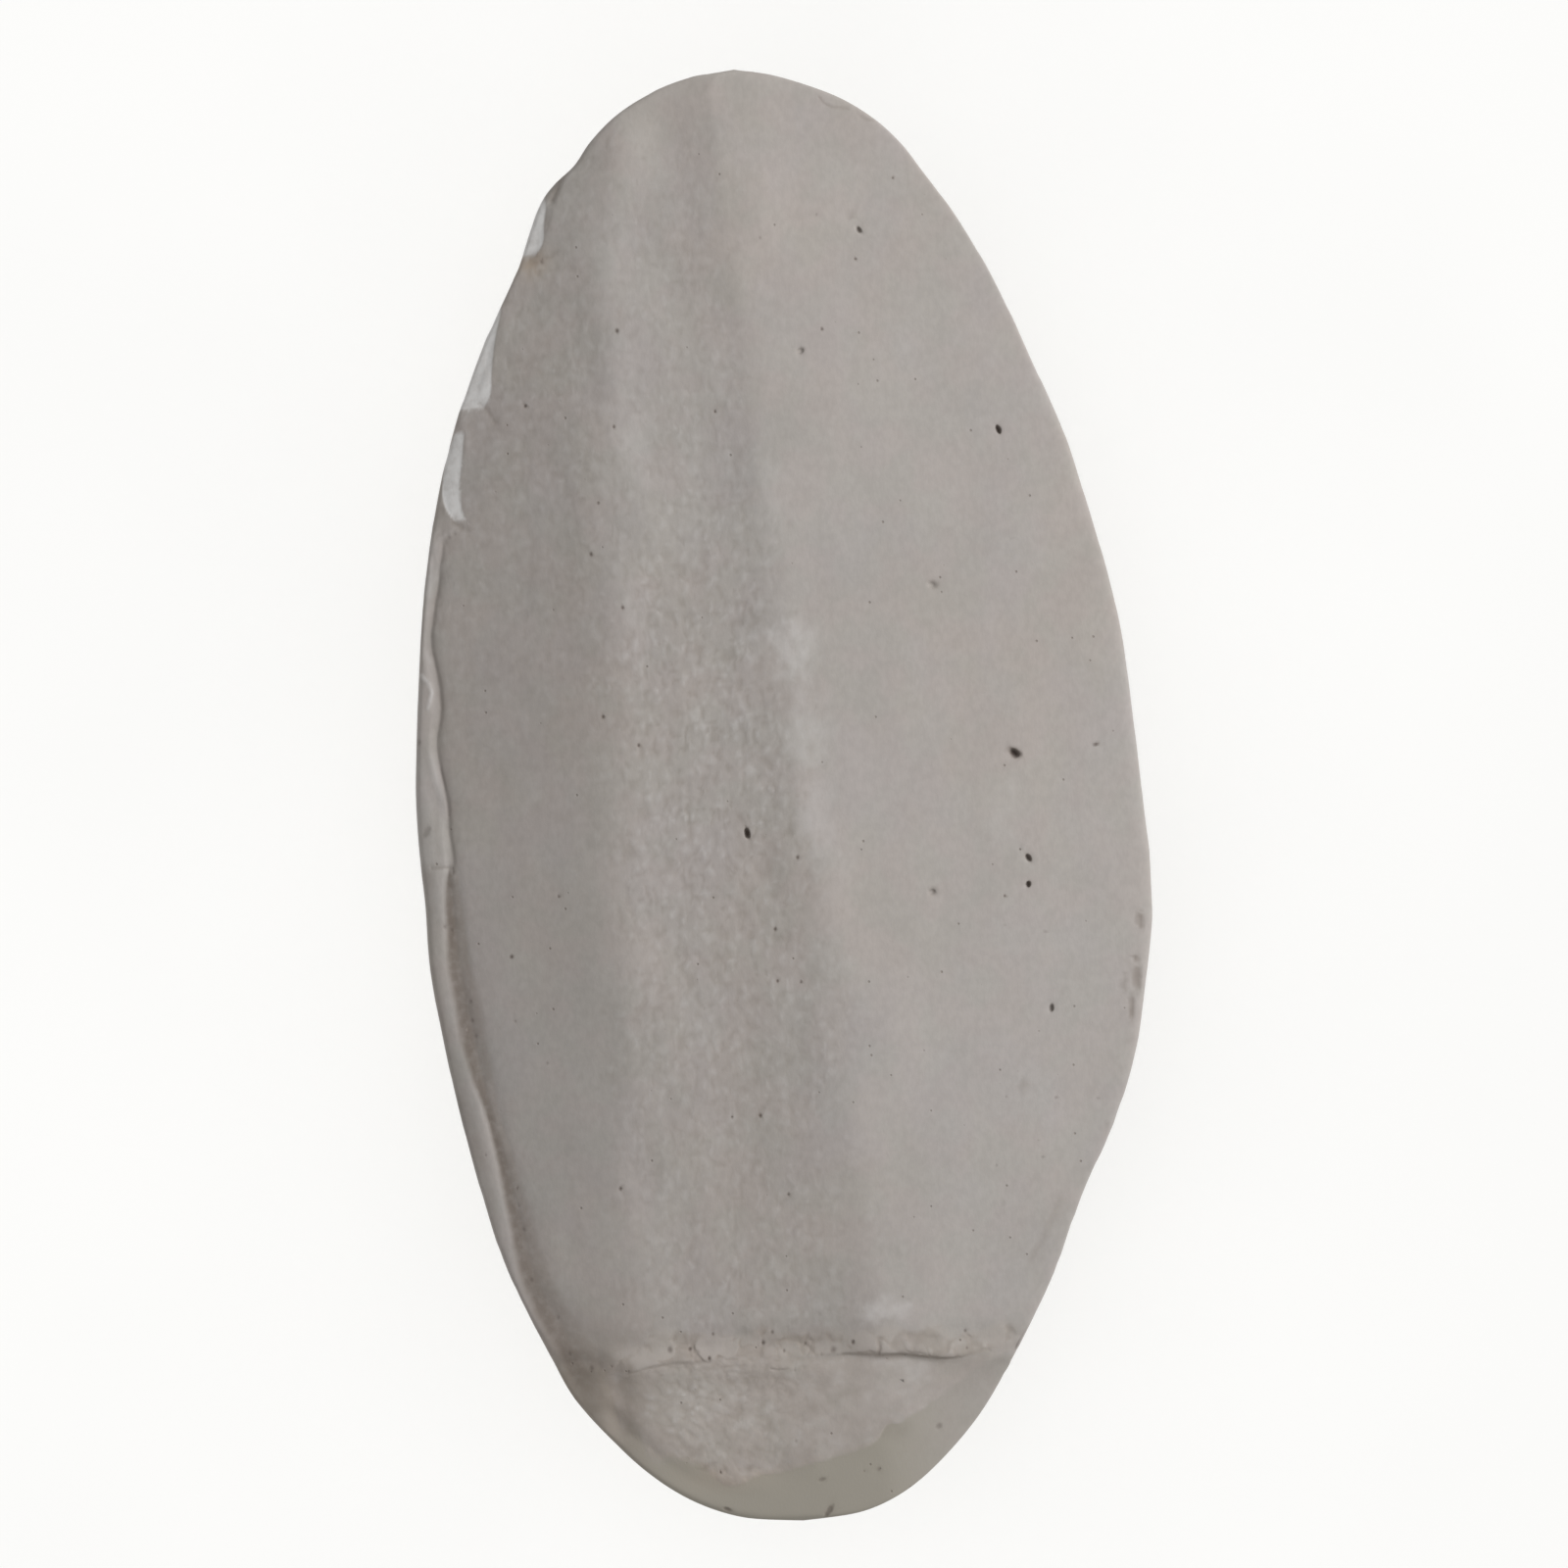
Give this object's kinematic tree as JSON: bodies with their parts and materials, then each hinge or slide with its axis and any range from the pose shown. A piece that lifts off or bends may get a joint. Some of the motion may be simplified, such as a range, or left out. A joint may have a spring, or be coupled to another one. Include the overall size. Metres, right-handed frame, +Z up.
{
  "type": "cuttlebone",
  "caption": "Whole cuttlebone lying back side up: smooth oval back with a granular middle band, a thin rim with a side channel, and a broken ledge at the rear over a bulged chalky underside.",
  "frame": {"origin": "under the middle of the bone's box, on the surface it rests on", "axes": "+Z up out of the smooth back, +Y along the bone towards the narrow front end, +X to the right with the back up and the front end away"},
  "size_m": [0.0754, 0.15, 0.0199],
  "materials": {
    "chalky_shell": "matte, dry and chalky grey-cream shell with fine raised grains in the middle, brown stains along the rim channel and small dark pits"
  },
  "bodies": {
    "root": {"cuttlebone": "chalky_shell"}
  },
  "joints": []
}
